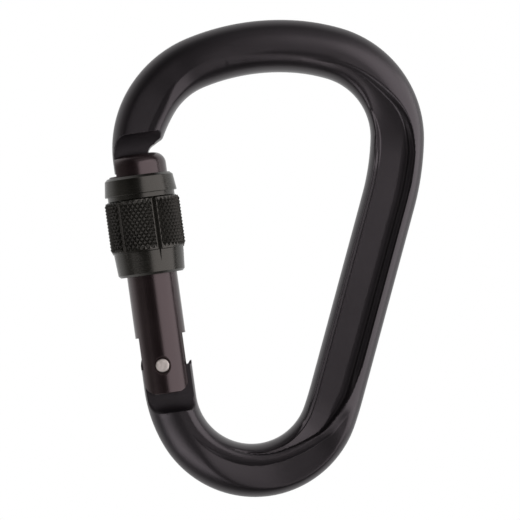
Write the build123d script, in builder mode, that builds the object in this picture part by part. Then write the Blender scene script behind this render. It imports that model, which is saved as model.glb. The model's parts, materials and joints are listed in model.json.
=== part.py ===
from build123d import *
import os
from math import acos, atan2, cos, degrees, radians, sin

# A pear-shaped locking carabiner in millimetres. The frame is the one it hangs in: +Z up, +X towards
# the spine, the gate on the -X side, and Y across the bar. The origin is the highest point of the
# crown's inner edge, on the mid-plane.

# ---- Forged bar: its inner edge as tangent arcs, clockwise from the crown's highest point ----
crown_radius = 39.1
crown_sweep = 12.5
shoulder_radius = 14.6
shoulder_sweep = 75.8
neck_radius = 57.5
neck_sweep = 13.3
spine_length = 47.3
haunch_radius = 85.0
haunch_sweep = 3.8
heel_radius = 13.4

# Counter-clockwise from the same point, down to the lip over the gate.
brow_radius = 47.5
brow_sweep = 26.0
horn_radius = 14.8
horn_sweep = 37.4
lip_radius = 34.6
lip_sweep = 12.0

# The outer edge turns with the inner one. Each of its radii is the inner radius plus one of these.
crown_depth = 12.5
shoulder_depth = 12.9
spine_depth = 12.8
heel_depth = 12.0
brow_depth = 10.8
horn_depth = 14.7
outer_heel_sweep = 131.0

bar_thickness = 12.0
bar_rounding = 5.0

# ---- Recessed web on both faces of the spine ----
# Its floor runs between these distances from the inner edge and closes to a rounded point in both bows.
web_thickness = 6.0
web_floor_inside = 1.9
web_floor_outside = 9.2
web_tip_radius = 1.4
web_wall_angle = 40.0
web_shoulder_sweep = 44.0
web_heel_sweep = 27.0

# ---- Shallow band on both faces of the bottom bow, outside a bead along its inner edge ----
# It follows the bead over the middle of the heel, and runs out to the rim before and after it.
band_depth = 1.0
band_from_inner_edge = 4.2
band_rim = 11.5
band_start_sweep = -5.0
band_bead_start_sweep = 60.0
band_bead_end_sweep = 100.0
band_end_sweep = 128.0
band_tip_radius = 1.0
band_wall_angle = 35.0

# ---- Hinge: tang on the bar, cheeks on the gate, rivet through both ----
tang_inner = 6.85
tang_outer = 5.25
tang_thickness = 6.0
tang_clearance = 0.1
pivot_rise = 8.45
eye_radius = 5.2
tang_hollow_depth = 11.2
tang_hollow_radius = 3.0
rivet_diameter = 3.3
rivet_clearance = 0.06
rivet_fit = 0.01
rivet_edge_chamfer = 0.22
rivet_sink = 0.18
countersink_diameter = 4.7
cam_level = -0.5
cam_wall = 2.5
tooth_height = 0.74
tooth_foot = 6.0
tooth_tip = 6.5

# ---- Gate ----
tube_offset = 0.33
tube_diameter = 12.08
head_diameter = 14.0
lip_to_axis = 7.5
head_top_gap = 5.75
head_edge_radius = 2.8
head_flat_length = 4.7
head_flat = 5.1
slot_top = 7.1
cheek_length = 6.75
cheek_half_width = 5.3
cheek_corner_radius = 3.0

# ---- Nose key on the bar and the slot in the gate's head ----
nose_outer = 5.2
nose_inner = 3.3
nose_thickness = 6.0
nose_hollow_radius = 2.8
nose_step_gap = 0.9
notch_slope = 26.0
notch_radius = 2.6
notch_rise = 0.9
key_width = 8.0
key_tip_depth = 4.05
key_height = 1.85
key_clearance = 0.22
stop_clearance = 0.35

# ---- Screw sleeve ----
sleeve_length = 24.0
sleeve_travel = 7.5
sleeve_over_head = 2.45
barrel_diameter = 18.2
barrel_length = 12.8
barrel_chamfer = 0.75
foot_length = 5.7
foot_diameter = 16.0
foot_top_diameter = 16.8
foot_corner_chamfer = 0.55
neck_ring_width = 1.05
neck_ring_diameter = 16.1
collar_top_diameter = 16.3
collar_foot_diameter = 17.4
collar_corner_chamfer = 0.62
flute_count = 6
flute_phase = 21.0
flute_bottom_radius = 8.25
flute_depth = 1.4
running_clearance = 0.1
tube_bore_length = 6.0
ring_height = 3.1
ring_thickness = 1.24
ring_side_clearance = 0.08

# ---- Spring and pusher in the gate ----
pusher_offset = 3.85
pusher_diameter = 2.4
pusher_length = 11.5
cam_clearance = 0.05
spring_bore_clearance = 0.1
spring_length = 13.0
spring_wire = 0.5
spring_turns = 6
spring_end_gap = 0.1

# How far the cutting shapes reach past what they cut.
cut_reach = 12.0


def to_outside(line, position):
    """The unit vector from a clockwise edge line towards the outside of the ring."""
    heading = line % position
    return Vector(-heading.Y, heading.X)


# ---- Inner edge of the bar, all but the heel ----
with BuildLine() as inner_edge:
    crown = JernArc(start=(0, 0), tangent=(1, 0), radius=crown_radius, arc_size=-crown_sweep)
    shoulder = JernArc(crown @ 1, crown % 1, shoulder_radius, -shoulder_sweep)
    neck = JernArc(shoulder @ 1, shoulder % 1, neck_radius, -neck_sweep)
    spine = Line(neck @ 1, neck @ 1 + spine_length * (neck % 1))
    haunch = JernArc(spine @ 1, spine % 1, haunch_radius, -haunch_sweep)
    brow = JernArc(start=(0, 0), tangent=(-1, 0), radius=brow_radius, arc_size=brow_sweep)
    horn = JernArc(brow @ 1, brow % 1, horn_radius, horn_sweep)
    lip = JernArc(horn @ 1, horn % 1, lip_radius, lip_sweep)

# ---- Gate frame ----
# The gate's axis is the line through the nose that keeps the tang's width from the heel's circle.
heel_centre = haunch @ 1 - heel_radius * to_outside(haunch, 1)
nose_centre = lip @ 1 - lip_to_axis * to_outside(lip, 1)
axis_reach = heel_radius + tang_inner - tube_offset
nose_to_heel = heel_centre - nose_centre
gate_lean = atan2(nose_to_heel.Y, nose_to_heel.X) + acos(axis_reach / nose_to_heel.length)
across = Vector(cos(gate_lean), sin(gate_lean))
along = Vector(-sin(gate_lean), cos(gate_lean))
pivot = heel_centre - (heel_radius + tang_inner) * across + pivot_rise * along
gate_front = Plane(origin=(pivot.X, 0, pivot.Y), x_dir=(across.X, 0, across.Y), z_dir=(0, -1, 0))
tube_front = Plane(
    origin=gate_front.from_local_coords((tube_offset, 0)),
    x_dir=gate_front.x_dir,
    z_dir=gate_front.z_dir,
)
gate_side = Plane(origin=gate_front.origin, x_dir=(0, 1, 0), z_dir=gate_front.x_dir)
tube_axis = Axis(tube_front.origin, tube_front.y_dir)

# Heights up the gate, from the pivot.
nose_height = (nose_centre - pivot).dot(along)
head_top = nose_height - head_top_gap
step_height = nose_height - nose_step_gap
sleeve_top = head_top + sleeve_over_head - sleeve_travel
sleeve_foot = sleeve_top - sleeve_length
bore_step = sleeve_foot + tube_bore_length
thread_foot = bore_step + sleeve_travel + stop_clearance
key_tip = head_top - key_tip_depth
key_shoulder = key_tip + key_height
cam_end = cam_level + tooth_height


def gate_point(u, v):
    """A point of the bar's plane, u across the gate from the pivot and v up it."""
    return pivot + u * across + v * along


def closing_radius(start, flank, turn):
    """Radius of the arc that turns an edge from start into the line u = flank of the gate."""
    return abs((start - pivot).dot(across) - flank) / (1 - cos(turn))


# ---- Forged body ----
with BuildLine() as bar_edge:
    add(inner_edge.line)
    heel_sweep = 270 - degrees(gate_lean) - crown_sweep - shoulder_sweep - neck_sweep - haunch_sweep
    heel = JernArc(haunch @ 1, haunch % 1, heel_radius, -heel_sweep)
    tang_flank = Line(heel @ 1, gate_point(tang_inner, cam_end))
    lip_run = TangentArc(lip @ 1, gate_point(tang_inner, key_tip - key_height), tangent=lip % 1)

    outer_crown = JernArc((0, crown_depth), (1, 0), crown_radius + crown_depth, -crown_sweep)
    outer_shoulder = JernArc(
        outer_crown @ 1, outer_crown % 1, shoulder_radius + shoulder_depth, -shoulder_sweep
    )
    outer_neck = JernArc(outer_shoulder @ 1, outer_shoulder % 1, neck_radius + spine_depth, -neck_sweep)
    outer_spine = Line(outer_neck @ 1, outer_neck @ 1 + spine_length * (outer_neck % 1))
    outer_haunch = JernArc(outer_spine @ 1, outer_spine % 1, haunch_radius + spine_depth, -haunch_sweep)
    outer_heel = JernArc(outer_haunch @ 1, outer_haunch % 1, heel_radius + heel_depth, -outer_heel_sweep)
    tang_turn = heel_sweep - outer_heel_sweep
    tang_radius = closing_radius(outer_heel @ 1, -tang_outer, radians(tang_turn))
    tang_back = JernArc(outer_heel @ 1, outer_heel % 1, tang_radius, -tang_turn)
    tang_end = Line(tang_back @ 1, gate_point(-tang_outer, 0))
    tang_top = Line(tang_end @ 1, tang_flank @ 1)

    outer_brow = JernArc((0, crown_depth), (-1, 0), brow_radius + brow_depth, brow_sweep)
    outer_horn = JernArc(outer_brow @ 1, outer_brow % 1, horn_radius + horn_depth, horn_sweep)
    nose_turn = 90 + degrees(gate_lean) - brow_sweep - horn_sweep
    nose_radius = closing_radius(outer_horn @ 1, -nose_outer, radians(nose_turn))
    nose_back = JernArc(outer_horn @ 1, outer_horn % 1, nose_radius, nose_turn)
    nose_end = Line(nose_back @ 1, gate_point(-nose_outer, key_tip - key_height))
    nose_foot = Line(nose_end @ 1, lip_run @ 1)

# The web's floor: straight along the spine, and closed by an arc to its tip at each end.
with BuildLine() as web_edge:
    inner_web = Line(
        spine @ 0 + web_floor_inside * to_outside(spine, 0),
        spine @ 1 + web_floor_inside * to_outside(spine, 1),
    )
    outer_web = Line(
        spine @ 0 + web_floor_outside * to_outside(spine, 0),
        spine @ 1 + web_floor_outside * to_outside(spine, 1),
    )
    inner_web_neck = JernArc(
        inner_web @ 0, -(inner_web % 0), neck_radius + web_floor_inside, neck_sweep
    )
    top_tip = JernArc(
        inner_web_neck @ 1, inner_web_neck % 1, shoulder_radius + web_floor_inside, web_shoulder_sweep
    )
    outer_web_neck = JernArc(
        outer_web @ 0, -(outer_web % 0), neck_radius + web_floor_outside, neck_sweep
    )
    TangentArc(outer_web_neck @ 1, top_tip @ 1, tangent=outer_web_neck % 1)
    inner_web_haunch = JernArc(
        inner_web @ 1, inner_web % 1, haunch_radius + web_floor_inside, -haunch_sweep
    )
    bottom_tip = JernArc(
        inner_web_haunch @ 1, inner_web_haunch % 1, heel_radius + web_floor_inside, -web_heel_sweep
    )
    TangentArc(outer_web @ 1, bottom_tip @ 1, tangent=outer_web % 1)



def on_heel(sweep, depth):
    """A point of the heel this many degrees round it, and this deep from its inner edge."""
    return heel_centre + (heel_radius + depth) * to_outside(haunch, 1).rotate(Axis.Z, -sweep)


with BuildLine() as band_edge:
    bead_middle = JernArc(
        on_heel(band_bead_start_sweep, band_from_inner_edge),
        (haunch % 1).rotate(Axis.Z, -band_bead_start_sweep),
        heel_radius + band_from_inner_edge,
        band_bead_start_sweep - band_bead_end_sweep,
    )
    TangentArc(bead_middle @ 0, on_heel(band_start_sweep, band_rim), tangent=-(bead_middle % 0))
    TangentArc(bead_middle @ 1, on_heel(band_end_sweep, band_rim), tangent=bead_middle % 1)
    band_rim_line = JernArc(
        on_heel(band_start_sweep, band_rim),
        (haunch % 1).rotate(Axis.Z, -band_start_sweep),
        heel_radius + band_rim,
        band_start_sweep - band_end_sweep,
    )

with BuildPart() as forged_body:
    with BuildSketch(Plane.XZ):
        add(bar_edge.line)
        make_face()
    extrude(amount=bar_thickness / 2, both=True)
    end_faces = [Plane.XZ.from_local_coords(end @ 0.5) for end in (tang_top, nose_foot)]
    rim_edges = forged_body.edges().filter_by(
        lambda edge: abs(edge.center().Y) > bar_thickness / 4
        and min((edge.center() - end).length for end in end_faces) > 0.51 * bar_thickness
    )
    fillet(rim_edges, radius=bar_rounding)

    # Web recess on both faces: a pointed floor with sloping walls.
    for side in (-1, 1):
        with BuildSketch(Plane((0, side * web_thickness / 2, 0), x_dir=(1, 0, 0), z_dir=(0, -1, 0))):
            add(web_edge.line)
            make_face()
            fillet(
                [vertices().sort_by_distance(tip @ 1)[0] for tip in (top_tip, bottom_tip)],
                radius=web_tip_radius,
            )
        extrude(amount=-side * bar_thickness / 2, taper=-web_wall_angle, mode=Mode.SUBTRACT)

    # Band on both faces: a crescent-shaped flat beside the bead.
    for side in (-1, 1):
        band_level = bar_thickness / 2 - band_depth
        with BuildSketch(Plane((0, side * band_level, 0), x_dir=(1, 0, 0), z_dir=(0, -1, 0))):
            add(band_edge.line)
            make_face()
            fillet(
                [vertices().sort_by_distance(band_rim_line @ end)[0] for end in (0, 1)],
                radius=band_tip_radius,
            )
        extrude(amount=-side * 2 * band_depth, taper=-band_wall_angle, mode=Mode.SUBTRACT)

    # Nose: the notch over the gate's head, cut right through under the lip.
    notch_run = cut_reach * cos(radians(notch_slope))
    notch_top = head_top + notch_rise
    with BuildSketch(gate_front):
        with BuildLine():
            notch_edge = FilletPolyline(
                (nose_inner + notch_run, notch_top + cut_reach * sin(radians(notch_slope))),
                (nose_inner, notch_top),
                (nose_inner, key_tip - cut_reach),
                radius=notch_radius,
            )
            Polyline(notch_edge @ 1, (nose_inner + notch_run, key_tip - cut_reach), notch_edge @ 0)
        make_face()
    extrude(amount=bar_thickness, both=True, mode=Mode.SUBTRACT)

    # Nose: thinned on both faces from a hollow-cornered step down to the key.
    with BuildSketch(gate_side):
        with Locations((nose_thickness / 2, step_height)):
            Rectangle(cut_reach, cut_reach, align=(Align.MIN, Align.MAX))
        fillet(vertices().group_by(Axis.Y)[-1].sort_by(Axis.X)[0], radius=nose_hollow_radius)
        mirror(about=Plane.YZ)
    extrude(amount=cut_reach, both=True, mode=Mode.SUBTRACT)

    # Nose: its tip and the key's shoulders are arcs about the pivot, so the gate swings clear of them.
    with BuildSketch(gate_front):
        Circle(key_tip)
        with Locations((0, key_tip)):
            Rectangle(2 * cut_reach, cut_reach, mode=Mode.INTERSECT)
    extrude(amount=bar_thickness, both=True, mode=Mode.SUBTRACT)
    with BuildSketch(gate_front):
        Circle(key_shoulder)
        Circle(key_tip, mode=Mode.SUBTRACT)
        with Locations((-nose_outer, key_tip)):
            Rectangle(nose_outer + nose_inner, cut_reach, align=(Align.MIN, Align.CENTER), mode=Mode.INTERSECT)
    extrude(amount=key_width / 2, both=True)

    # Hinge: the tang is thinned on both faces down to a hollow across the bar.
    with BuildSketch(gate_side):
        with Locations((tang_thickness / 2, -tang_hollow_depth)):
            Rectangle(cut_reach, tang_hollow_depth + cut_reach, align=(Align.MIN, Align.MIN))
        fillet(vertices().group_by(Axis.Y)[0].sort_by(Axis.X)[0], radius=tang_hollow_radius)
        mirror(about=Plane.YZ)
    extrude(amount=cut_reach, both=True, mode=Mode.SUBTRACT)

    # Hinge: the eye, the seat and tooth beside it for the spring's pusher, and the rivet's hole.
    with BuildSketch(gate_front):
        Circle(eye_radius)
    extrude(amount=tang_thickness / 2, both=True)
    with BuildSketch(gate_front):
        with BuildLine():
            Polyline(
                (cam_wall, cut_reach),
                (cam_wall, cam_level),
                (tooth_foot, cam_level),
                (tooth_tip, cam_end),
                (cut_reach, cam_end),
                (cut_reach, cut_reach),
                close=True,
            )
        make_face()
    extrude(amount=bar_thickness, both=True, mode=Mode.SUBTRACT)
    with Locations(gate_front):
        Hole(rivet_diameter / 2 + rivet_clearance)

# ---- Gate: turned rod with hinge cheeks below, thread band and slotted head above ----
tube_radius = tube_diameter / 2
head_radius = head_diameter / 2
slot_reach = nose_inner + stop_clearance
pusher_foot = cam_level + cam_clearance
spring_foot = pusher_foot + pusher_length + spring_end_gap
bore_end = spring_foot + spring_length + spring_end_gap
bore_radius = pusher_diameter / 2 + spring_bore_clearance

with BuildPart() as gate:
    with BuildSketch(tube_front):
        with BuildLine():
            Polyline(
                (0, -cheek_length),
                (tube_radius, -cheek_length),
                (tube_radius, thread_foot),
                (head_radius, thread_foot + head_radius - tube_radius),
                (head_radius, head_top),
                (0, head_top),
                close=True,
            )
        make_face()
        fillet(vertices().sort_by_distance((head_radius, head_top))[0], radius=head_edge_radius)
    revolve(axis=tube_axis)

    # Rounded ends of the cheeks.
    with BuildSketch(tube_front):
        with Locations((0, -cheek_length)):
            Rectangle(2 * tube_diameter, 2 * cheek_corner_radius)
        with Locations((0, -cheek_length)):
            RectangleRounded(
                2 * cheek_half_width,
                cut_reach,
                cheek_corner_radius,
                align=(Align.CENTER, Align.MIN),
                mode=Mode.SUBTRACT,
            )
    extrude(amount=tube_diameter, both=True, mode=Mode.SUBTRACT)

    # Slot for the tang, and the bore above it for the spring and its pusher.
    with BuildSketch(gate_side):
        with Locations((0, slot_top)):
            Rectangle(tang_thickness + 2 * tang_clearance, 2 * cut_reach, align=(Align.CENTER, Align.MAX))
    extrude(amount=cut_reach, both=True, mode=Mode.SUBTRACT)
    with BuildSketch(Plane(gate_front.from_local_coords((pusher_offset, 0)), z_dir=gate_front.y_dir)):
        Circle(bore_radius)
    extrude(amount=bore_end, mode=Mode.SUBTRACT)

    # Rivet hole, countersunk in both cheeks.
    for side in (-1, 1):
        cheek_face = gate_front.origin + Vector(0, side * tube_radius, 0)
        with Locations(Plane(cheek_face, z_dir=(0, side, 0))):
            CounterSinkHole(
                radius=rivet_diameter / 2 + rivet_fit,
                counter_sink_radius=countersink_diameter / 2,
                depth=tube_radius,
                counter_sink_angle=90,
            )

    # Head: a flat on the outer side, and the keyed slot that the bar's nose sits in.
    with BuildSketch(tube_front):
        with Locations((-head_flat, head_top)):
            Rectangle(cut_reach, 2 * head_flat_length, align=(Align.MAX, Align.CENTER))
    extrude(amount=head_diameter, both=True, mode=Mode.SUBTRACT)
    with BuildSketch(gate_front):
        Circle(key_shoulder + key_clearance)
        Circle(key_tip - key_clearance, mode=Mode.SUBTRACT)
        with Locations((slot_reach, key_tip)):
            Rectangle(cut_reach, cut_reach, align=(Align.MAX, Align.CENTER), mode=Mode.INTERSECT)
    extrude(amount=key_width / 2 + key_clearance, both=True, mode=Mode.SUBTRACT)
    with BuildSketch(gate_front):
        with Locations((slot_reach, (key_tip + key_shoulder) / 2)):
            Rectangle(cut_reach, cut_reach, align=(Align.MAX, Align.MIN))
    extrude(amount=nose_thickness / 2 + key_clearance, both=True, mode=Mode.SUBTRACT)

# ---- Hinge rivet, clenched in the cheeks and running in the tang ----
with BuildPart() as hinge_rivet:
    with BuildSketch(gate_front):
        Circle(rivet_diameter / 2)
    extrude(amount=tube_radius - rivet_sink, both=True)
    chamfer(hinge_rivet.edges().filter_by(GeomType.CIRCLE), length=rivet_edge_chamfer)

# ---- Spring's pusher: a round-ended pin that bears on the tang beside its eye ----
pusher_front = Plane(
    gate_front.from_local_coords((pusher_offset, 0)), x_dir=gate_front.x_dir, z_dir=gate_front.z_dir
)
pusher_radius = pusher_diameter / 2
with BuildPart() as spring_pusher:
    with BuildSketch(pusher_front):
        with BuildLine():
            dome = CenterArc((0, pusher_foot + pusher_radius), pusher_radius, -90, 90)
            Polyline(
                dome @ 1,
                (pusher_radius, pusher_foot + pusher_length),
                (0, pusher_foot + pusher_length),
                dome @ 0,
            )
        make_face()
    revolve(axis=Axis(pusher_front.origin, pusher_front.y_dir))

# ---- Gate spring, of square wire, in the bore above the pusher ----
spring_radius = pusher_radius - spring_wire / 2
with BuildPart() as gate_spring:
    coil_height = spring_length - spring_wire
    with BuildLine():
        coil = Helix(
            pitch=coil_height / spring_turns,
            height=coil_height,
            radius=spring_radius,
            center=pusher_front.from_local_coords((0, spring_foot + spring_wire / 2)),
            direction=gate_front.y_dir,
        )
    with BuildSketch(Plane(coil @ 0, x_dir=gate_front.x_dir, z_dir=coil % 0)):
        Rectangle(spring_wire, spring_wire)
    sweep(path=coil, is_frenet=True)

# ---- Locking sleeve: turned, with a knurled barrel between two plain ends ----
bore_foot = tube_radius + running_clearance
bore_head = head_radius + running_clearance
foot_end = sleeve_foot + foot_length
barrel_end = foot_end + barrel_length
collar_foot = barrel_end + neck_ring_width
ring_mean_radius = tube_radius + ring_side_clearance + ring_thickness / 2
ring_middle = sleeve_foot + ring_height

with BuildPart() as locking_sleeve:
    with BuildSketch(tube_front):
        with BuildLine():
            Polyline(
                (bore_foot, sleeve_foot),
                (foot_diameter / 2, sleeve_foot),
                (foot_top_diameter / 2, foot_end),
                (barrel_diameter / 2, foot_end + barrel_chamfer),
                (barrel_diameter / 2, barrel_end - barrel_chamfer),
                (neck_ring_diameter / 2, barrel_end),
                (neck_ring_diameter / 2, collar_foot),
                (collar_foot_diameter / 2, collar_foot),
                (collar_top_diameter / 2, sleeve_top),
                (bore_head, sleeve_top),
                (bore_head, bore_step),
                (bore_foot, bore_step),
                close=True,
            )
        make_face()
        chamfer(vertices().sort_by_distance((foot_diameter / 2, sleeve_foot))[0], foot_corner_chamfer)
        chamfer(vertices().sort_by_distance((collar_top_diameter / 2, sleeve_top))[0], collar_corner_chamfer)
        with Locations((ring_mean_radius, ring_middle)):
            Rectangle(
                ring_thickness + 2 * ring_side_clearance,
                ring_thickness + 2 * ring_side_clearance,
                mode=Mode.SUBTRACT,
            )
    revolve(axis=tube_axis)

    # Flutes down the barrel, which run out in the taper of the foot.
    with BuildSketch(Plane(tube_front.from_local_coords((0, sleeve_foot)), gate_front.x_dir, gate_front.y_dir)):
        with PolarLocations(flute_bottom_radius, flute_count, start_angle=flute_phase - 90):
            Polygon((0, 0), (flute_depth, -flute_depth), (flute_depth, flute_depth), align=None)
    extrude(amount=foot_length + barrel_length, mode=Mode.SUBTRACT)

# ---- Ring in the sleeve's inner groove, which grips the tube so that the sleeve stays where it is put ----
with BuildPart() as sleeve_ring:
    with BuildSketch(tube_front):
        with Locations((ring_mean_radius, ring_middle)):
            Rectangle(ring_thickness, ring_thickness)
    revolve(axis=tube_axis)

# ---- Names and files ----
forged_body.part.label = "forged_body"
gate.part.label = "gate"
hinge_rivet.part.label = "hinge_rivet"
spring_pusher.part.label = "spring_pusher"
gate_spring.part.label = "gate_spring"
locking_sleeve.part.label = "locking_sleeve"
sleeve_ring.part.label = "sleeve_ring"

os.makedirs("parts", exist_ok=True)
for piece in (forged_body, gate, hinge_rivet, spring_pusher, gate_spring, locking_sleeve, sleeve_ring):
    export_step(piece.part, f"parts/{piece.part.label}.step")
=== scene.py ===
import json
import math

import bmesh
import bpy
import numpy as np
from mathutils import Matrix, Vector


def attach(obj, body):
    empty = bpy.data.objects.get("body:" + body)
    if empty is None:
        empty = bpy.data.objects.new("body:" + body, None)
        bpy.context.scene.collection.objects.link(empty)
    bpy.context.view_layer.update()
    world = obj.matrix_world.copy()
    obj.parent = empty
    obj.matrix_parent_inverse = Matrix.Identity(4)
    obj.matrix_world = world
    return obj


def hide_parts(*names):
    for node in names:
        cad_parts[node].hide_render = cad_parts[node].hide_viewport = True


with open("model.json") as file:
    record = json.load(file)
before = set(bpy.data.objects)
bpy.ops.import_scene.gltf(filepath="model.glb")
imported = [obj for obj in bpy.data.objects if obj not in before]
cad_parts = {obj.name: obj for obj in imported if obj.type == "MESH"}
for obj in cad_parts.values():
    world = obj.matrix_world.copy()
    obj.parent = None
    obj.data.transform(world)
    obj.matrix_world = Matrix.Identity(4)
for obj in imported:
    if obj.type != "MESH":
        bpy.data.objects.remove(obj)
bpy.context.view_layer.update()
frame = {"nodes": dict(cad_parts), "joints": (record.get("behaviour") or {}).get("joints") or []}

# ---- Forged bar ----
# One hot-forged and machined aluminium bar, tumbled smooth and black anodised: a pear with a webbed
# spine, a beaded bottom bow, a stepped nose over the gate and a thin tang for the hinge below it. It
# is a loft of sections from the nose over the crown and down the spine to the tang.
hinge = next(j for j in frame["joints"] if j["name"] == "gate_hinge")
screw = next(j for j in frame["joints"] if j["name"] == "sleeve_turn")
pivot = 1000 * np.array([hinge["pos_m"][0], hinge["pos_m"][2]])
up_gate = np.array([screw["axis"][0], screw["axis"][2]])
over_gate = np.array([up_gate[1], -up_gate[0]])
tube_offset = (1000 * np.array([screw["pos_m"][0], screw["pos_m"][2]]) - pivot) @ over_gate

crown_depth, heel_radius, lip_curve, lip_turn = 12.5, 13.4, 34.6, 12
nose_outer, nose_inner, nose_half, nose_hollow, nose_fade = 5.2, 3.3, 3.0, 2.8, 6.2
notch_top, notch_slope, notch_radius, lip_radius = 51.82, math.radians(26), 2.6, 1.9
step_height, key_tip, key_shoulder, key_half = 55.77, 46.87, 48.72, 4.0
tang_inner, tang_outer, tang_half, tang_hollow, tang_hollow_foot, tang_fade = 6.85, 5.25, 3.0, 3.0, -11.4, 3.8
seat_from, seat_level, tooth_foot, tooth_tip, tooth_top, plate_foot = 2.5, -0.5, 6.0, 6.5, 0.24, -0.55
bar_half, web_half, edge_radius, notch_edge = 6.0, 3.0, 5, 0.6
nose_stations, tang_stations, station_step, edge_samples, middle_samples = 110, 90, 0.4, 10, 66


def to_gate(points):
    """Points of the bar's plane as (across, up) the gate from its hinge."""
    apart = np.asarray(points) - pivot
    return np.stack([apart @ over_gate, apart @ up_gate], -1)


def from_gate(places):
    """The points of the bar's plane at these places across and up the gate."""
    places = np.asarray(places)
    return pivot + places[..., :1] * over_gate + places[..., 1:] * up_gate


def swing(start, heading, radius, turn, steps=121):
    """Points of an arc that starts in a heading and turns by an angle, to the left where it is positive."""
    side = math.copysign(1, turn)
    left = np.array([-math.sin(heading), math.cos(heading)]) * side
    angle = np.linspace(0, turn, steps)[:, None]
    arm = -radius * left
    return start + radius * left + np.hstack([
        np.cos(angle) * arm[0] - np.sin(angle) * arm[1],
        np.sin(angle) * arm[0] + np.cos(angle) * arm[1],
    ])


def edge_runs(first_heading, runs):
    """Both edges, their ends and their last heading, over runs of (inner radius, depth, degrees).

    The outer radius is the inner one plus the depth. A straight run is (0, 0, mm).
    """
    place, heading, edges = (np.zeros(2), np.array([0, crown_depth])), first_heading, []
    for radius, depth, turn in runs:
        way = np.array([math.cos(heading), math.sin(heading)])
        if radius == 0:
            edge = [q + np.linspace(0, turn, 121)[:, None] * way for q in place]
        else:
            edge = [swing(q, heading, r, math.radians(turn)) for q, r in zip(place, (radius, radius + depth))]
            heading += math.radians(turn)
        edges.append(edge)
        place = edge[0][-1], edge[1][-1]
    return edges, place, heading


def evenly(line, step=None, count=None):
    """Points along a line of points, a step apart or so many of them."""
    run = np.concatenate([[0], np.cumsum(np.linalg.norm(np.diff(line, axis=0), axis=1))])
    at = np.linspace(0, run[-1], count or int(run[-1] / step) + 2)
    return np.stack([np.interp(at, run, line[:, k]) for k in (0, 1)], -1)


def rounded_corner(before, corner, after, radius, steps=16):
    """The arc that rounds one corner of a line."""
    before, corner, after = (np.array(q, float) for q in (before, corner, after))
    a, b = ((q - corner) / np.linalg.norm(q - corner) for q in (before, after))
    half = math.acos(np.clip(a @ b, -1, 1)) / 2
    centre = corner + (a + b) / np.linalg.norm(a + b) * radius / math.sin(half)
    arms = [corner + w * radius / math.tan(half) - centre for w in (a, b)]
    arc = np.array([(1 - t) * arms[0] + t * arms[1] for t in np.linspace(0, 1, steps)])
    return centre + arc / np.linalg.norm(arc, axis=1)[:, None] * radius


# Clockwise from the crown's top these are the crown, shoulder, neck, spine, haunch and heel. They have
# the run numbers 0 to 6, and the tang ends at 7.
clockwise, heel_end, heading = edge_runs(0, (
    (39.1, crown_depth, -12.5), (14.6, 12.9, -75.8), (57.5, 12.8, -13.3),
    (0, 0, 47.3), (85.0, 12.8, -3.8), (heel_radius, 12.0, -131.0),
))
gate_up_heading = math.atan2(up_gate[1], up_gate[0]) - 2 * math.pi
turn = gate_up_heading - heading
reach = abs(to_gate(heel_end[1])[0] + tang_outer) / (1 - math.cos(turn))
tang_edges = [swing(heel_end[0], heading, heel_radius, turn), swing(heel_end[1], heading, reach, turn)]

# The other way round they are the brow and horn, with run numbers down to -2, and the nose ends at -3.
counter, horn_end, heading = edge_runs(math.pi, ((47.5, 10.8, 26.0), (14.8, 14.7, 37.4)))
lip_edge = swing(horn_end[0], heading, lip_curve, math.radians(lip_turn))
turn = math.atan2(-up_gate[1], -up_gate[0]) + 2 * math.pi - heading
turn = (turn + math.pi) % (2 * math.pi) - math.pi
reach = abs(to_gate(horn_end[1])[0] + nose_outer) / (1 - math.cos(turn))
nose_edge = swing(horn_end[1], heading, reach, turn)

# The notch under the lip: down its slope and round its hollow to the nose's inner flank.
rounded_points, past_tip = 12, 0.5
lip_uv = to_gate(lip_edge)
below = lip_uv[:, 1] < notch_top + (lip_uv[:, 0] - nose_inner) * math.tan(notch_slope)
lip_corner = lip_uv[np.argmax(below)]
lip_uv = lip_uv[: np.argmax(below)]
notch_corner = np.array([nose_inner, notch_top])
inner_nose = np.vstack([
    lip_uv[:-rounded_points],
    rounded_corner(lip_uv[-rounded_points], lip_corner, notch_corner, lip_radius),
    rounded_corner(lip_corner, notch_corner, (nose_inner, key_tip), notch_radius),
    [(nose_inner, key_tip - past_tip)],
])
outer_nose = np.vstack([to_gate(nose_edge), [(-nose_outer, key_tip - past_tip)]])

# The stations of the loft: a run number, and the inner and outer point of each.
numbers, insides, outsides = [], [], []


def add_run(first, last, inner, outer):
    """Adds stations between two run numbers, at these inner and outer points."""
    numbers.extend(np.linspace(first, last, len(inner), endpoint=False))
    insides.extend(inner)
    outsides.extend(outer)


flank_in = evenly(inner_nose, count=nose_stations)[::-1]
level = np.interp(np.linspace(0, 1, nose_stations), [0, 0.45, 1], [key_tip, step_height, outer_nose[0][1]])
flank_out = np.stack([np.interp(level, outer_nose[::-1, 1], outer_nose[::-1, 0]), level], -1)
add_run(-3, -2, from_gate(flank_in), from_gate(flank_out))
onward = [(line[0][::-1], line[1][::-1]) for line in counter[::-1]] + clockwise
for number, (inner, outer) in enumerate(onward, -2):
    count = len(evenly(outer, station_step))
    add_run(number, number + 1, evenly(inner, count=count)[:-1], evenly(outer, count=count)[:-1])
ends = [np.vstack([edge, from_gate([(u, plate_foot)])]) for edge, u in zip(tang_edges, (tang_inner, -tang_outer))]
add_run(6, 7, evenly(ends[0], count=tang_stations), evenly(ends[1], count=tang_stations))
numbers, insides, outsides = np.array(numbers), np.array(insides), np.array(outsides)

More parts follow.
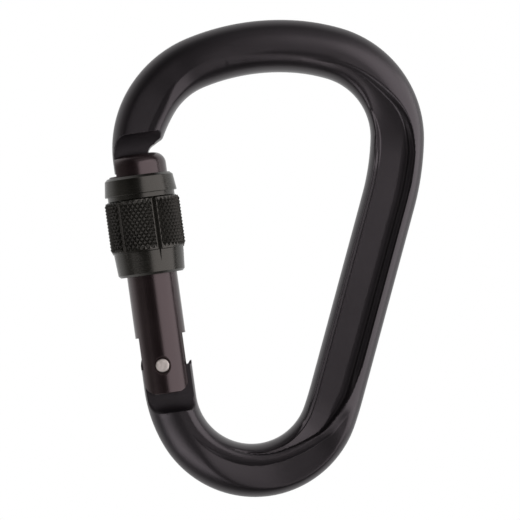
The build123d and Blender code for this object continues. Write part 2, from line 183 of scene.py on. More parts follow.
# Across each section: close samples round the edges, and wider ones between them.
edge_fan = 1 - np.cos(np.linspace(0, math.pi / 2, edge_samples))
widths = np.linalg.norm(outsides - insides, axis=1)
edge_zones = np.minimum(1.2, 0.2 * widths)
across = np.stack([
    np.concatenate([e * edge_fan, np.linspace(e, w - e, middle_samples)[1:-1], w - e * edge_fan[::-1]])
    for e, w in zip(edge_zones, widths)
])
plan = insides[:, None] + across[..., None] * ((outsides - insides) / widths[:, None])[:, None]
uv = to_gate(plan)


def eased(a, b, blend):
    """The lower of two heights, with the corner between them rounded off."""
    mix = np.clip(0.5 + 0.5 * (b - a) / blend, 0, 1)
    return b * (1 - mix) + a * mix - blend * mix * (1 - mix)


def fade(x, start, end):
    """0 before start, 1 after end and a smooth rise between them."""
    t = np.clip((x - start) / (end - start), 0, 1)
    return t * t * (3 - 2 * t)


def quarter(depth, wide, deep):
    """How far an elliptical edge, so wide and so deep, falls away at a depth from the side."""
    short = 1 - np.clip(depth / wide, 0, 1)
    return deep - deep * np.sqrt(1 - short**2)


def smoothed(at, stops, reach):
    """Values at even steps from (place, value) stops, with the corners between them rounded off."""
    window = np.hanning(2 * reach + 3)
    value = np.pad(np.interp(at, *zip(*stops)), reach + 1, "edge")
    return np.convolve(value, window / window.sum(), "valid")


def along(*stops, reach=12):
    """A value for each station, from (run number, value) stops."""
    return smoothed(numbers, stops, reach)[:, None]


def stepped(distance, *stops):
    """The height of a stepped wall at a distance from its main crease, from (distance, height) stops."""
    fine = np.linspace(-6, 14, 2001)
    return np.interp(distance, fine, smoothed(fine, stops, 15))


def lowered(height, other, blend, first=-9, last=9):
    """A height brought down to another one where that is lower, between two run numbers."""
    return np.where((run > first) & (run < last), eased(height, other, blend), height)


run = np.broadcast_to(numbers[:, None], across.shape)
width = widths[:, None]
u, v = uv[..., 0], uv[..., 1]
in_notch = fade(-run, 2.5, 2.62)
inner_round = along(
    (-2.2, 2.4), (-1.6, 2.6), (-0.9, 4.4), (-0.3, 3.3), (0.9, 3.3),
    (1.4, edge_radius), (5.2, edge_radius), (5.7, 2.8), (6.2, 2.8), (6.5, edge_radius),
)
inner_round = inner_round * (1 - in_notch) + notch_edge * in_notch
inner_deep = edge_radius - (edge_radius - notch_edge) * in_notch
outer_round = along(
    (-2.8, edge_radius), (-1.0, 6), (0.3, 6.8), (1.2, 6.0), (2.0, edge_radius), (2.4, 4.2), (4.2, 4.2),
    (4.9, 3.6), (5.3, 3.2), (5.6, 4.4), (5.85, 7.4), (6.3, 7.4), (6.6, edge_radius),
)
outer_deep = along((1.6, 5), (2.4, 4.2), (4.2, 4.2), (5.0, 4.0), (5.4, 4.0), (5.8, 5))
height = bar_half - quarter(across, inner_round, inner_deep) - quarter(width - across, outer_round, outer_deep)

# The web of the spine: a sunk panel with a double step up to the flange on either side. Its floor
# climbs to the top bow's valley at one end, and to the groove inside the bottom bow's bead at the other.
crease_in = along(
    (1.3, 0.3), (1.6, 0.8), (1.8, 1.5), (2.0, 2.0), (2.2, 2.2), (5.2, 2.2), (5.5, 2.0), (5.8, 1.6), (6.4, 1.5),
)
crease_out = along(
    (0.9, 3.6), (1.2, 4.3), (1.4, 4.8), (1.5, 5.2), (1.6, 5.8), (1.7, 6.7), (1.8, 7.5), (1.9, 8.3), (2.0, 8.9),
    (2.15, 9.3), (2.6, 9.2), (3.75, 9.1), (3.92, 9.0), (4.0, 8.85), (4.3, 8.5), (4.7, 7.95), (5.0, 7.3),
    (5.05, 6.7), (5.1, 6.0), (5.15, 5.0), (5.2, 4.2), (5.3, 3.1), (5.5, 2.2), (5.7, 1.3), (5.8, 0.9), (6.5, 0.7),
    reach=4,
)
web_floor = along(
    (0.3, 6.5), (0.6, 6.2), (1.0, 5.7), (1.2, 5.35), (1.4, 4.9), (1.6, 4.3), (1.8, 3.6), (1.95, 3.15),
    (2.1, web_half), (4.6, web_half), (5.0, 3.15), (5.1, 3.5), (5.2, 4.1), (5.3, 4.6), (5.5, 5.0), (5.7, 5.3),
    (6.2, 5.5), (6.45, 6.2), reach=8,
)
inward = along((0.3, 0.1), (0.9, 0.22), (1.3, 0.28), (1.6, 0.2), (1.9, 0.08), (2.15, 0), reach=20)
wall_in = np.interp(crease_in - across, (-0.09, 0.09, 0.75, 0.93, 1.5, 14), (web_half, 3.8, 3.82, 4.7, 6.6, 50))
wall_in = wall_in + (web_floor - web_half) * fade(-run, -5.75, -5.4)
from_crease = across - crease_out
wall_out = stepped(
    from_crease,
    (-1.8, web_half), (-0.9, 3.15), (-0.3, 3.45), (0.2, 4.35), (1.05, 4.6), (1.45, 5.25), (2.0, 6.2), (14, 30),
)
plain_wall = stepped(from_crease, (-1.8, web_half), (-0.7, 3.2), (-0.15, 3.6), (0.25, 5.4), (0.45, 6.2), (14, 50))
single = along((3.85, 0), (3.95, 0.25), (4.0, 0.4), (4.4, 0.75), (4.8, 1), reach=5)
wall_out = wall_out * (1 - single) + plain_wall * single

# At the shoulder plain ramps stand in for the steps on either side.
ramp_out = web_floor + 1.15 * np.maximum(from_crease + 0.2, 0)
wall_out = ramp_out + (wall_out - ramp_out) * fade(run, 1.65, 2.1)
ramp_in = web_floor + 0.9 * np.maximum(crease_in - across + 0.3, 0)
wall_in = ramp_in + (wall_in - ramp_in) * fade(run, 2.1, 2.6)
web = -eased(-(web_floor + inward * (across - 4)), -np.maximum(wall_in, wall_out), 0.3)
web_blend = 0.14 + 0.16 * fade(-across, -6, -4) + 0.5 * fade(-run, -2.0, -1.6)
height = lowered(height, web, web_blend, first=0.3, last=6.5)

# The bows: a soft valley beside a bead along the top, and a flat band outside the bead round the bottom.
valley = along((-0.9, 3.9), (0.5, 3.7), (1.1, 4.3))
valley_depth = along((-0.9, 0), (-0.2, 0.33), (0.7, 0.34), (1.1, 0))
height = height - valley_depth * np.exp(-(((across - valley) / 0.85) ** 2))
bead = along(
    (4.0, 10.4), (4.4, 9.6), (4.7, 8.9), (5.0, 8.1), (5.05, 7.4), (5.1, 6.5), (5.15, 5.5), (5.2, 5.0), (5.28, 4.4),
    (5.4, 3.9), (5.6, 3.3), (5.75, 2.9), reach=3,
)
bead_side = np.minimum(0.32 * np.maximum(across - bead, 0), 0.5)
bead_top = bar_half - along((3.95, 0), (4.5, 0.15), (5.6, 0.15), (5.8, 0)) - bead_side
bead_lift = along((3.8, 0.8), (4.0, 0.45), (4.5, 0.12), (4.9, 0), (5.35, 0), (5.65, 0.35), (5.95, 0.7))
height = lowered(height, bead_top + bead_lift, 0.3, first=3.9, last=5.95)
ridge = along(
    (4.5, 11.8), (5.0, 10.3), (5.07, 8.8), (5.12, 7.65), (5.2, 6.65), (5.28, 5.85), (5.4, 5.25), (5.5, 5.05),
    (5.68, 4.55), (5.8, 4.4), (6.2, 4.3), reach=3,
)
band_depth = along((4.2, -0.5), (4.9, 0.25), (5.04, 0.55), (5.14, 1.05), (5.4, 1.05), (5.9, 0.0), (6.1, -0.4))
band_wall = along((5.0, 0.4), (5.12, 1.3), (5.4, 1.3), (5.75, 0.4))
band = bar_half - band_depth + band_wall * np.maximum(ridge - across, 0) + 0.07 * np.maximum(across - ridge, 0)
height = lowered(height, band, 0.12, first=4.2, last=6.2)

# The leaf-shaped flat on the horn.
crest = along((-2.7, 3.2), (-2.0, 3.2), (-1.5, 3.9), (-1.0, 5.0), (-0.75, 5.6))
back = along((-2.7, 9.3), (-2.0, 9.1), (-1.7, 8.2), (-1.4, 6.6))
leaf_depth = along((-2.9, 0.5), (-1.9, 0.5), (-1.45, 0.15), (-1.2, -0.4))
horn = bar_half - along((-2.9, 0.15), (-1.2, 0.15), (-0.7, -0.4))
horn = horn - 0.06 * (across - crest) - 0.26 * np.maximum(crest - across, 0)
height = lowered(height, horn, 0.3, last=-0.7)
leaf = bar_half - leaf_depth + 0.25 * np.maximum(across - back, 0) + 0.1 * np.maximum(crest + 0.5 - across, 0)
height = lowered(height, leaf, 0.12, last=-1.2)

# The nose and its key, and the tang, are thinned from hollow-cornered steps.
untouched, least_half, no_blend = 9.0, 0.05, 1e-6
climb = np.clip((v - step_height + nose_fade) / nose_fade, 0, 1)
step = nose_half + np.where(v < step_height, nose_hollow * (1 - np.sqrt(1 - climb**2)), untouched)
step = np.where(np.hypot(u, v) < key_shoulder, key_half, step)
height = np.where(run < -1.9, np.minimum(height, step), height)
climb = np.clip((tang_hollow_foot + tang_fade - v) / tang_fade, 0, 1)
step = tang_half + np.where(v > tang_hollow_foot, tang_hollow * (1 - np.sqrt(1 - climb**2)), untouched)
height = lowered(height, step, 0.5 * fade(-v, 7.5, 9.5) + no_blend, first=5.5)
height = np.maximum(height, least_half)


def closed_loft(name, plan, height):
    """A mesh from the front and back of a row of sections, closed at its edges and its two ends."""
    rows, columns = height.shape
    front = np.stack([plan[..., 0], -height, plan[..., 1]], -1)
    back = np.stack([plan[..., 0], height, plan[..., 1]], -1)[:, ::-1]
    loop = np.concatenate([front, back], 1)
    around = loop.shape[1]
    index = np.arange(rows * around).reshape(rows, around)
    ahead = np.roll(index, -1, 1)
    quads = np.stack([index[:-1], ahead[:-1], ahead[1:], index[1:]], -1).reshape(-1, 4)
    caps = []
    for row, flip in ((index[0], True), (index[-1], False)):
        for k in range(columns - 1):
            face = [row[k], row[k + 1], row[around - 2 - k], row[around - 1 - k]]
            caps.append(face[::-1] if flip else face)
    mesh = bpy.data.meshes.new(name)
    mesh.from_pydata((loop.reshape(-1, 3) / 1000).tolist(), [], quads.tolist() + [list(map(int, f)) for f in caps])
    mesh.validate()
    return mesh


def place(name, mesh, body, slot, *nodes):
    """An object of the carabiner that rides on a body and stands for these solids."""
    piece = bpy.data.objects.new(name, mesh)
    bpy.context.scene.collection.objects.link(piece)
    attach(piece, body)
    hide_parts(*nodes)
    return piece


def add_prism(shape, outline, half):
    """Adds to a shape a solid of an outline across and up the gate, as thick as twice half."""
    flat = from_gate(outline)
    rings = [[shape.verts.new((x / 1000, y / 1000, z / 1000)) for x, z in flat] for y in (-half, half)]
    shape.faces.new(rings[0])
    shape.faces.new(rings[1][::-1])
    for corners in zip(rings[0], rings[0][1:] + rings[0][:1], rings[1][1:] + rings[1][:1], rings[1]):
        shape.faces.new(corners)


def smooth_mesh(shape, mesh, sharp=None):
    """Writes a shape into a mesh with smooth shading, apart from edges sharper than so many degrees."""
    bmesh.ops.recalc_face_normals(shape, faces=shape.faces)
    for face in shape.faces:
        face.smooth = True
    shape.to_mesh(mesh)
    shape.free()
    if sharp is not None:
        mesh.set_sharp_from_angle(angle=math.radians(sharp))
    return mesh


bar_mesh = closed_loft("bar_loft", plan, height)
shape = bmesh.new()
shape.from_mesh(bar_mesh)

# The eye round the rivet, with the seat and the tooth for the spring's pusher beside it.
eye_line = [(-tang_outer, plate_foot)]
eye_line += [
    (tang_outer * math.cos(a), tang_outer * math.sin(a))
    for a in np.linspace(math.pi, math.acos(seat_from / tang_outer), 40)
]
eye_line += [
    (seat_from, seat_level), (tooth_foot, seat_level), (tooth_tip, tooth_top), (tang_inner, tooth_top),
    (tang_inner, plate_foot),
]
add_prism(shape, eye_line, tang_half)
bar = place("bar", smooth_mesh(shape, bar_mesh, sharp=38), "bar", "body", "forged_body")


class Shade:
    """A shader socket that can be used in Python expressions, which add the nodes they need."""

    def __init__(self, tree, socket):
        self.tree, self.socket = tree, socket

    @staticmethod
    def node(tree, kind, settings, sockets, output=0):
        """Adds a node of a kind with its settings, fills its sockets and gives one of its outputs."""
        made = tree.nodes.new(kind)
        for name, value in settings.items():
            if name == "stops":
                ramp = made.color_ramp.elements
                while len(ramp) < len(value):
                    ramp.new(0.5)
                for stop, (at, grey) in zip(ramp, value):
                    stop.position, stop.color = at, (grey, grey, grey, 1)
            else:
                setattr(made, name, value)
        for name, value in sockets.items():
            if isinstance(value, Shade):
                tree.links.new(value.socket, made.inputs[name])
            else:
                made.inputs[name].default_value = value
        return Shade(tree, made.outputs[output])

    def __add__(self, other):
        return Shade.node(self.tree, "ShaderNodeMath", {"operation": "ADD"}, {0: self, 1: other})

    def __mul__(self, other):
        return Shade.node(self.tree, "ShaderNodeMath", {"operation": "MULTIPLY"}, {0: self, 1: other})

    __radd__, __rmul__ = __add__, __mul__

    def limits(self, low, high):
        """This value's rise from low to high, as 0 to 1."""
        sockets = {"Value": self, "From Min": low, "From Max": high}
        return Shade.node(self.tree, "ShaderNodeMapRange", {"interpolation_type": "SMOOTHSTEP"}, sockets)

    def blend(self, low, high):
        """A colour that goes from low to high with this value."""
        first, second, colour_result = 6, 7, 2
        sockets = {"Factor": self, first: low, second: high}
        return Shade.node(self.tree, "ShaderNodeMix", {"data_type": "RGBA"}, sockets, colour_result)


def finish_of(name, metallic=0.0, specular=0.5, tint=(1, 1, 1)):
    """A new material, its shader and its object's coordinates in metres."""
    material = bpy.data.materials.new(name)
    material.use_nodes = True
    tree = material.node_tree
    shader = tree.nodes["Principled BSDF"]
    shader.inputs["Metallic"].default_value = metallic
    shader.inputs["Specular IOR Level"].default_value = specular
    shader.inputs["Specular Tint"].default_value = (*tint, 1)
    here = Shade.node(tree, "ShaderNodeTexCoord", {}, {}, "Object")
    return material, shader, here


def noise(here, scale, detail=3.0, roughness=0.5):
    """Even noise over an object, with so many cells to the metre."""
    sockets = {"Vector": here, "Scale": scale, "Detail": detail, "Roughness": roughness}
    return Shade.node(here.tree, "ShaderNodeTexNoise", {}, sockets)


def wire(value, socket):
    """Feeds a value into a socket."""
    value.tree.links.new(value.socket, socket)


def relief(height, distance, strength, shader):
    """Bumps a shader's surface by a height of 0 to 1 times a distance in metres."""
    sockets = {"Height": height, "Distance": distance, "Strength": strength}
    wire(Shade.node(height.tree, "ShaderNodeBump", {}, sockets), shader.inputs["Normal"])


def colour_between(amount, low, high, shader):
    """Colours a shader from low to high, each (red, green, blue), as an amount goes from 0 to 1."""
    wire(amount.blend((*low, 1), (*high, 1)), shader.inputs["Base Color"])


anodised, shader, here = finish_of("satin_black_anodised", specular=0.65, tint=(1.0, 0.90, 0.96))
mottle = noise(here, 60, 4)
grain = noise(here, 2600, 3)
colour_between(mottle.limits(0.3, 0.7), (0.0042, 0.0036, 0.0042), (0.0070, 0.0060, 0.0068), shader)
wire(0.29 + 0.06 * mottle + 0.05 * grain, shader.inputs["Roughness"])
relief(grain + 0.35 * noise(here, 700, 2), 0.00001, 0.6, shader)
bar.data.materials.append(anodised)

# ---- Gate ----
# Turned from aluminium rod and anodised brown-black: hinge cheeks either side of the tang below, a
# plain tube, and a wider head that is flatted outside and slotted for the nose and its key.
head_top, head_radius, head_edge = 50.92, 7.0, 2.8
tube_radius, thread_foot, thread_run_out, tube_chamfer = 6.04, 35.72, 0.96, 0.15
cheek_foot, cheek_half, cheek_corner = -6.75, 5.3, 3.0
flat_at, flat_length = 5.1, 4.7
tang_slot_top, tang_slot_half, nose_slot_foot = 7.1, 3.1, 47.8
key_clearance, nose_clearance = 0.22, 0.35
sink_wide, sink_narrow, sink_deep, sink_inset = 2.6, 1.66, 0.94, 0.22
turn_steps, tube_row, near_axis = 144, 6.0, 0.01

# The cutters reach well past the gate, so that they cut right through it.
tool_half, tool_foot, tool_far, flat_far, nose_slot_top = 9, -2, 12, 14, 56


def turned(name, profile, steps, depth=None):
    """A solid turned about the gate's axis from (radius, height) points, which a function may deepen."""
    profile = np.array(profile, float)
    angle = np.linspace(0, 2 * math.pi, steps, endpoint=False)
    radius = np.broadcast_to(profile[:, :1], (len(profile), steps)).copy()
    rise = np.broadcast_to(profile[:, 1:], radius.shape)
    if depth is not None:
        radius = depth(radius, rise, angle[None, :])
    plan = from_gate(np.stack([tube_offset + radius * np.sin(angle), rise], -1))
    points = np.stack([plan[..., 0], -radius * np.cos(angle), plan[..., 1]], -1)
    index = np.arange(len(profile) * steps).reshape(len(profile), steps)
    ahead = np.roll(index, -1, 1)
    quads = np.stack([index[:-1], ahead[:-1], ahead[1:], index[1:]], -1).reshape(-1, 4)
    ends = [] if np.allclose(profile[0], profile[-1]) else [index[0][::-1].tolist(), index[-1].tolist()]
    mesh = bpy.data.meshes.new(name)
    mesh.from_pydata((points.reshape(-1, 3) / 1000).tolist(), [], quads.tolist() + ends)
    shape = bmesh.new()
    shape.from_mesh(mesh)
    bmesh.ops.remove_doubles(shape, verts=shape.verts, dist=1e-7)
    return smooth_mesh(shape, mesh, sharp=32)


def prism(name, outline, half):
    """A mesh of an outline across and up the gate, as thick as twice half."""
    shape = bmesh.new()
    add_prism(shape, outline, half)
    bmesh.ops.recalc_face_normals(shape, faces=shape.faces)
    mesh = bpy.data.meshes.new(name)
    shape.to_mesh(mesh)
    shape.free()
    return mesh


def cut(mesh, tools):
    """A mesh with these closed meshes taken out of it."""
    piece = bpy.data.objects.new("uncut", mesh)
    bpy.context.scene.collection.objects.link(piece)
    for tool_mesh in tools:
        tool = bpy.data.objects.new("cutter", tool_mesh)
        bpy.context.scene.collection.objects.link(tool)
        modifier = piece.modifiers.new("cut", "BOOLEAN")
        modifier.object, modifier.operation, modifier.solver = tool, "DIFFERENCE", "EXACT"
        bpy.context.view_layer.update()
        result = bpy.data.meshes.new_from_object(piece.evaluated_get(bpy.context.evaluated_depsgraph_get()))
        piece.modifiers.clear()
        piece.data = result
        bpy.data.objects.remove(tool)
    bpy.data.objects.remove(piece)
    return result


def arc_points(radius, first_u, last_u, steps=30):
    """Points at one distance from the hinge, from one place across the gate to another."""
    return [(x, math.sqrt(radius**2 - x**2)) for x in np.linspace(first_u, last_u, steps)]


quarter_turn = np.linspace(0, math.pi / 2, 12)
head_round = [
    (head_radius - head_edge + head_edge * math.cos(a), head_top - head_edge + head_edge * math.sin(a))
    for a in quarter_turn
]
gate_profile = [
    (near_axis, cheek_foot), (tube_radius - tube_chamfer, cheek_foot), (tube_radius, cheek_foot + tube_chamfer),
    *[(tube_radius, z) for z in np.arange(0, thread_foot, tube_row)],
    (tube_radius, thread_foot), (head_radius, thread_foot + thread_run_out), *head_round, (near_axis, head_top),
]

cheek_corners = []
for side in (1, -1):
    rounding = [
        (side * (cheek_half - cheek_corner + cheek_corner * math.cos(a)), cheek_corner - cheek_corner * math.sin(a))
        for a in quarter_turn
    ]
    outline = rounding + [(side * 1.0, tool_foot), (side * tool_half, tool_foot), (side * tool_half, cheek_corner)]
    outline = [(tube_offset + x, cheek_foot + z) for x, z in outline]
    cheek_corners.append(prism("cheek_corner", outline, tool_half))

tang_slot = [
    (-tool_far, -tool_far), (tool_far, -tool_far),
    (tool_far, tang_slot_top), (-tool_far, tang_slot_top),
]
slot_right = nose_inner + nose_clearance
nose_slot = [
    (-tool_far, nose_slot_foot), (slot_right, nose_slot_foot),
    (slot_right, nose_slot_top), (-tool_far, nose_slot_top),
]
key_slot = arc_points(key_tip - key_clearance, -tool_far, slot_right)
key_slot += arc_points(key_shoulder + key_clearance, slot_right, -tool_far)
flat_edge, flat_foot, flat_top = tube_offset - flat_at, head_top - flat_length, head_top + 3
head_flat = [(flat_edge, flat_foot), (flat_edge, flat_top), (-flat_far, flat_top), (-flat_far, flat_foot)]

countersinks = []
for side in (-1, 1):
    cone = bmesh.new()
    bmesh.ops.create_cone(
        cone, cap_ends=True, segments=64, radius1=sink_wide / 1000, radius2=sink_narrow / 1000, depth=sink_deep / 1000
    )
    middle = Matrix.Translation((pivot[0] / 1000, side * (tube_radius - sink_inset) / 1000, pivot[1] / 1000))
    bmesh.ops.transform(cone, matrix=middle @ Matrix.Rotation(math.pi / 2 * side, 4, "X"), verts=cone.verts)
    mesh = bpy.data.meshes.new("countersink")
    cone.to_mesh(mesh)
    cone.free()
    countersinks.append(mesh)

gate_mesh = cut(turned("gate_turning", gate_profile, turn_steps), [
    prism("tang_slot", tang_slot, tang_slot_half),
    *cheek_corners,
    prism("head_flat", head_flat, tool_half),
    prism("key_slot", key_slot, key_half + key_clearance),
    prism("nose_slot", nose_slot, nose_half + key_clearance),
    *countersinks,
])
gate_mesh.set_sharp_from_angle(angle=math.radians(32))
gate = place("gate_rod", gate_mesh, "gate_arm", "gate", "gate")


def turning_marks(here, scale):
    """Noise that varies only along the gate's axis, as the marks of a lathe's tool do."""
    sockets = {0: here, 1: tuple(screw["axis"])}
    up_axis = Shade.node(here.tree, "ShaderNodeVectorMath", {"operation": "DOT_PRODUCT"}, sockets, "Value")
    sockets = {"W": up_axis, "Scale": scale, "Detail": 3.0}
    return Shade.node(here.tree, "ShaderNodeTexNoise", {"noise_dimensions": "1D"}, sockets)


gate_finish, shader, here = finish_of("brown_black_anodised", specular=0.7, tint=(1.0, 0.80, 0.83))
mottle = noise(here, 90, 4)
grain = noise(here, 3000, 2)
colour_between(mottle.limits(0.3, 0.7), (0.0065, 0.0040, 0.0042), (0.0105, 0.0066, 0.0068), shader)
marks = turning_marks(here, 2600)
wire(0.18 + 0.07 * mottle + 0.03 * grain + 0.04 * marks, shader.inputs["Roughness"])
relief(grain + 0.6 * marks, 0.000006, 0.6, shader)
gate.data.materials.append(gate_finish)

# ---- Hinge rivet ----
# A stainless steel pin through the cheeks and the tang between them, clenched in the countersinks of
# both cheeks, with softly domed bright ends.
rivet_radius, rivet_reach, rivet_edge, dome_rise, dome_radius, rivet_steps = 1.62, 5.86, 0.3, 0.02, 1.3, 64
end = [
    (rivet_radius - rivet_edge + rivet_edge * math.cos(a), rivet_reach - rivet_edge + rivet_edge * math.sin(a))
    for a in np.linspace(0, math.pi / 2, 8)
]
end += [(r, rivet_reach + dome_rise * (1 - (r / dome_radius) ** 2)) for r in (1.0, 0.6, 0.2)]
pin_line = [(r, -y) for r, y in end[::-1]] + end
around = np.linspace(0, 2 * math.pi, rivet_steps, endpoint=False)
pin = bmesh.new()
rings = []
for r, y in pin_line:
    places = [(pivot[0] + r * math.cos(a), y, pivot[1] + r * math.sin(a)) for a in around]
    rings.append([pin.verts.new((x / 1000, y / 1000, z / 1000)) for x, y, z in places])
for one, two in zip(rings, rings[1:]):
    for k in range(rivet_steps):
        after = (k + 1) % rivet_steps
        pin.faces.new((one[k], one[after], two[after], two[k]))
pin.faces.new(rings[0][::-1])
pin.faces.new(rings[-1])
rivet_mesh = smooth_mesh(pin, bpy.data.meshes.new("rivet_turning"))
rivet = place("rivet", rivet_mesh, "gate_arm", "rivet", "hinge_rivet")
steel, shader, here = finish_of("bright_steel", metallic=1.0)
scuffs = noise(here, 900, 4, 0.7)
colour_between(scuffs.limits(0.3, 0.75), (0.50, 0.46, 0.43), (0.78, 0.72, 0.69), shader)
wire(0.50 + 0.22 * scuffs, shader.inputs["Roughness"])
relief(scuffs, 0.00002, 0.4, shader)
rivet.data.materials.append(steel)

# ---- Gate spring ----
# A compression spring wound from steel wire, which lies loose in the gate's bore and closes the gate.
# It keeps its solid from the frame.


def recoat(node, material):
    """Gives a solid of the frame a material."""
    for slot in frame["nodes"][node].material_slots:
        slot.material = material


spring_steel, shader, here = finish_of("spring_steel", metallic=1.0)
colour_between(noise(here, 500, 3), (0.30, 0.29, 0.28), (0.50, 0.49, 0.48), shader)
wire(0.3 + 0.2 * noise(here, 1500, 2), shader.inputs["Roughness"])
recoat("gate_spring", spring_steel)

# ---- Spring pusher ----
# A turned steel pin that slides in the gate's bore, with the spring behind it and its round end on
# the seat of the tang. It keeps its solid from the frame.
pin_finish, shader, here = finish_of("pusher_steel", metallic=1.0)
colour_between(noise(here, 700, 3), (0.42, 0.40, 0.38), (0.60, 0.58, 0.55), shader)
wire(0.25 + 0.2 * noise(here, 1800, 2), shader.inputs["Roughness"])
recoat("spring_pusher", pin_finish)

# ---- Locking sleeve ----
# Turned aluminium, anodised olive-black: a tapered foot, a barrel with six flutes and a diamond
# knurl rolled between them, a narrow neck and a collar. Its bore is threaded to the gate's head.
sleeve_foot, barrel_foot, barrel_top, collar_foot, sleeve_top = 21.87, 27.57, 40.37, 41.42, 45.87
bore_radius, thread_bore, bore_step, neck_radius = 6.14, 7.1, 27.87, 8.05
mouth_radius, mouth_chamfer, foot_flat = 6.5, 0.3, 7.45
foot_radius, foot_chamfer, foot_top_radius, foot_length = 8.02, 0.55, 8.4, 5.15
collar_radius, collar_edge, collar_top_radius, rim_radius = 8.7, 8.6, 8.23, 7.53
barrel_radius, knurl_depth, knurl_edge, root_edge, knurl_foot = 9.09, 0.42, 0.3, 0.02, 8.2
barrel_lip, barrel_chamfer, barrel_inset, collar_chamfer, rim_chamfer = 0.16, 0.45, 0.6, 0.12, 0.62
flute_first, flutes, flute_bottom, flute_half, flute_slope = math.radians(21), 6, 8.17, 0.80, 0.98
columns, rows, sleeve_steps, foot_rows, barrel_rows, outside_from = 13, 15, 720, 40, 50, 7.8
root, sixth = barrel_radius - knurl_depth, 2 * math.pi / flutes
outer_line = [
    (mouth_radius, sleeve_foot), (foot_flat, sleeve_foot), (foot_radius, sleeve_foot + foot_chamfer),
    *[
        (foot_radius + (foot_top_radius - foot_radius) * t, sleeve_foot + foot_chamfer + foot_length * t)
        for t in np.linspace(0.05, 1, foot_rows)
    ],
    (root, barrel_foot + barrel_lip), (root, barrel_foot + barrel_chamfer),
    *[(root, z) for z in np.linspace(barrel_foot + barrel_inset, barrel_top - barrel_inset, barrel_rows)],
    (root, barrel_top - barrel_chamfer), (neck_radius, barrel_top), (neck_radius, collar_foot),
    (collar_edge, collar_foot), (collar_radius, collar_foot + collar_chamfer),
    (collar_top_radius, sleeve_top - rim_chamfer),
    (rim_radius, sleeve_top), (thread_bore, sleeve_top), (thread_bore, bore_step), (bore_radius, bore_step),
    (bore_radius, sleeve_foot + mouth_chamfer), (mouth_radius, sleeve_foot),
]


def fluted(radius, rise, angle):
    """The radius of the sleeve's outside with its flutes let in below the barrel's top."""
    from_flute = (angle - flute_first + sixth / 2) % sixth - sixth / 2
    vee = flute_bottom / np.cos(from_flute) + flute_slope * np.abs(np.tan(from_flute)) * flute_bottom
    floor = np.minimum(radius, vee)
    return np.where((rise < barrel_top - 0.01) & (radius > outside_from), floor, radius)


def on_sleeve(shape, radius, angle, rise):
    """A new vertex at a radius and an angle round the gate's axis, and at a height up it."""
    x, z = from_gate([tube_offset + radius * math.sin(angle), rise])
    return shape.verts.new((x / 1000, -radius * math.cos(angle) / 1000, z / 1000))


def knurl_radius(column, row):
    """The radius at a point of the knurl: every other one is a tip, and those at either end are lower."""
    at_end = row in (0, rows)
    if (column + row) % 2 == 0:
        return barrel_radius - (knurl_edge if at_end else 0.0)
    return root - (root_edge if at_end else 0.0)


sleeve_mesh = turned("sleeve_turning", outer_line, sleeve_steps, fluted)
knurl = bmesh.new()
knurl.from_mesh(sleeve_mesh)
panel_half = sixth / 2 - flute_half / barrel_radius
knurl_from, knurl_to = barrel_foot + 0.5, barrel_top - 0.35
rises = np.linspace(knurl_from, knurl_to, rows + 1)
sides = [
    [(0, i) for i in range(columns + 1)],
    [(j, columns) for j in range(rows + 1)],
    [(rows, i) for i in range(columns, -1, -1)],
    [(j, 0) for j in range(rows, -1, -1)],
]
for number in range(flutes):
    angles = flute_first + (number + 0.5) * sixth + np.linspace(-panel_half, panel_half, columns + 1)
    grid = [[on_sleeve(knurl, knurl_radius(i, j), a, z) for i, a in enumerate(angles)] for j, z in enumerate(rises)]
    for j in range(rows):
        for i in range(columns):
            p, q, s, t = grid[j][i], grid[j][i + 1], grid[j + 1][i + 1], grid[j + 1][i]
            for triangle in [(q, s, t), (q, t, p)] if (i + j) % 2 == 0 else [(p, q, s), (p, s, t)]:
                knurl.faces.new(triangle)
    for side in sides:
        line = [grid[j][i] for j, i in side]
        feet = [on_sleeve(knurl, knurl_foot, angles[i], rises[j]) for j, i in side]
        for k in range(len(line) - 1):
            knurl.faces.new((line[k], feet[k], feet[k + 1], line[k + 1]))
knurl.to_mesh(sleeve_mesh)
knurl.free()
sleeve_mesh.set_sharp_from_angle(angle=math.radians(30))
sleeve = place("sleeve", sleeve_mesh, "sleeve", "sleeve", "locking_sleeve")

olive, shader, here = finish_of("olive_black_anodised", specular=0.56, tint=(1.0, 0.95, 0.88))
mottle = noise(here, 120, 4)
grain = noise(here, 3200, 2)
colour_between(mottle.limits(0.3, 0.7), (0.0045, 0.0042, 0.0034), (0.0080, 0.0075, 0.0062), shader)
marks = turning_marks(here, 2200)
wire(0.16 + 0.08 * mottle + 0.03 * grain + 0.10 * marks, shader.inputs["Roughness"])
relief(grain + 1.2 * marks, 0.000008, 0.6, shader)
sleeve.data.materials.append(olive)

# ---- Ring in the sleeve ----
# A black rubber ring in the sleeve's inner groove, which grips the tube so that the sleeve stays put.
# It keeps its solid from the frame.
rubber, shader, here = finish_of("black_rubber", specular=0.3)
colour_between(noise(here, 800, 3), (0.012, 0.012, 0.012), (0.022, 0.022, 0.022), shader)
wire(0.6 + 0.2 * noise(here, 1500, 2), shader.inputs["Roughness"])
recoat("sleeve_ring", rubber)

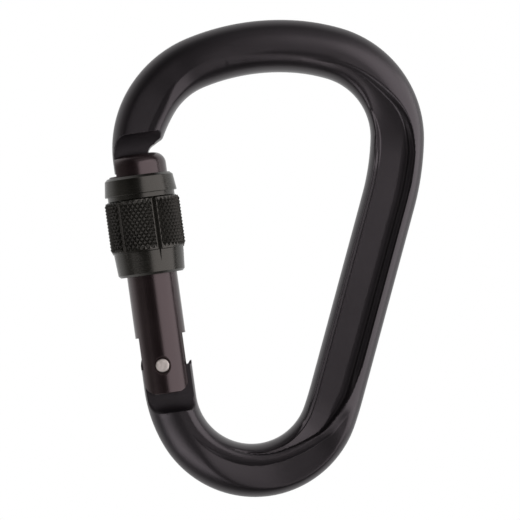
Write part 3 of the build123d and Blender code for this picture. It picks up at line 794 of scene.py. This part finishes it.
# ---- Floor, light and camera ----
# A plain pale floor well below the hanging carabiner, white surroundings behind it, and four soft
# lights: a broad bright one on the right, dim ones on the left and above, and a small one low down.
floor_reach, floor_level = 6, -0.75
middle_height, white = -0.045, (1, 1, 1, 1)
scene = bpy.context.scene
scene.view_settings.view_transform = "Standard"
floor_mesh = bpy.data.meshes.new("floor")
floor_corners = [(floor_reach * x, floor_reach * y, floor_level) for x, y in ((-1, -1), (1, -1), (1, 1), (-1, 1))]
floor_mesh.from_pydata(floor_corners, [], [(0, 1, 2, 3)])
floor_piece = bpy.data.objects.new("floor", floor_mesh)
scene.collection.objects.link(floor_piece)
floor_piece.visible_glossy = False
pale, shader, here = finish_of("pale_floor", specular=0.2)
colour_between(noise(here, 8, 2), (0.80, 0.80, 0.80), (0.84, 0.84, 0.84), shader)
shader.inputs["Roughness"].default_value = 0.7
floor_mesh.materials.append(pale)

world = bpy.data.worlds.new("studio")
scene.world = world
world.use_nodes = True
tree = world.node_tree
outward = Shade.node(tree, "ShaderNodeTexCoord", {}, {}, "Generated")
backward = Shade.node(tree, "ShaderNodeSeparateXYZ", {}, {"Vector": outward}, "Y")
greys = [(0.0, 0.01), (0.22, 0.02), (0.40, 0.12), (0.5, 0.4), (0.62, 0.9)]
surroundings = Shade.node(tree, "ShaderNodeValToRGB", {"stops": greys}, {"Fac": backward * 0.5 + 0.5})
seen = Shade.node(tree, "ShaderNodeLightPath", {}, {}, "Is Camera Ray")
wire(seen.blend(surroundings, white), tree.nodes["Background"].inputs["Color"])


def softbox(name, turn, rise, size, radiance, colour):
    """A soft rectangular light a metre from the carabiner, turned to its right and raised by degrees."""
    data = bpy.data.lights.new(name, "AREA")
    data.shape, data.size, data.size_y, data.color = "RECTANGLE", *size, colour
    data.energy = radiance * math.pi * size[0] * size[1]
    lamp = bpy.data.objects.new(name, data)
    scene.collection.objects.link(lamp)
    turn, rise = math.radians(turn), math.radians(rise)
    away = Vector((math.sin(turn) * math.cos(rise), -math.cos(turn) * math.cos(rise), math.sin(rise)))
    lamp.location = Vector((0, 0, middle_height)) + away
    lamp.rotation_euler = away.to_track_quat("Z", "Y").to_euler()
    lamp.visible_camera = False


softbox("right_softbox", 54, 12, (2.2, 1.5), 1.9, (1.0, 0.97, 0.98))
softbox("left_softbox", -68, 6, (0.9, 1.0), 0.12, (1.0, 0.98, 0.92))
softbox("low_left_softbox", -42, -32, (0.6, 0.4), 2.6, (1.0, 0.98, 1.0))
softbox("high_softbox", 22, 52, (1.0, 0.7), 0.38, (1.0, 0.98, 1.0))

# The camera looks along +Y, rolled a little, and sees view_width across at the carabiner.
view_width, sensor_width, camera_distance, aim, roll = 0.1249, 36, 0.9, (-0.00483, -0.04542), math.radians(3.5)
lens_data = bpy.data.cameras.new("camera")
camera = bpy.data.objects.new("camera", lens_data)
scene.collection.objects.link(camera)
lens_data.sensor_width = sensor_width
lens_data.lens = sensor_width * camera_distance / view_width
lens_data.clip_start, lens_data.clip_end = 0.05, 10
camera.matrix_world = Matrix((
    (math.cos(roll), -math.sin(roll), 0, aim[0]),
    (0, 0, -1, -camera_distance),
    (math.sin(roll), math.cos(roll), 0, aim[1]),
    (0, 0, 0, 1),
))
scene.camera = camera
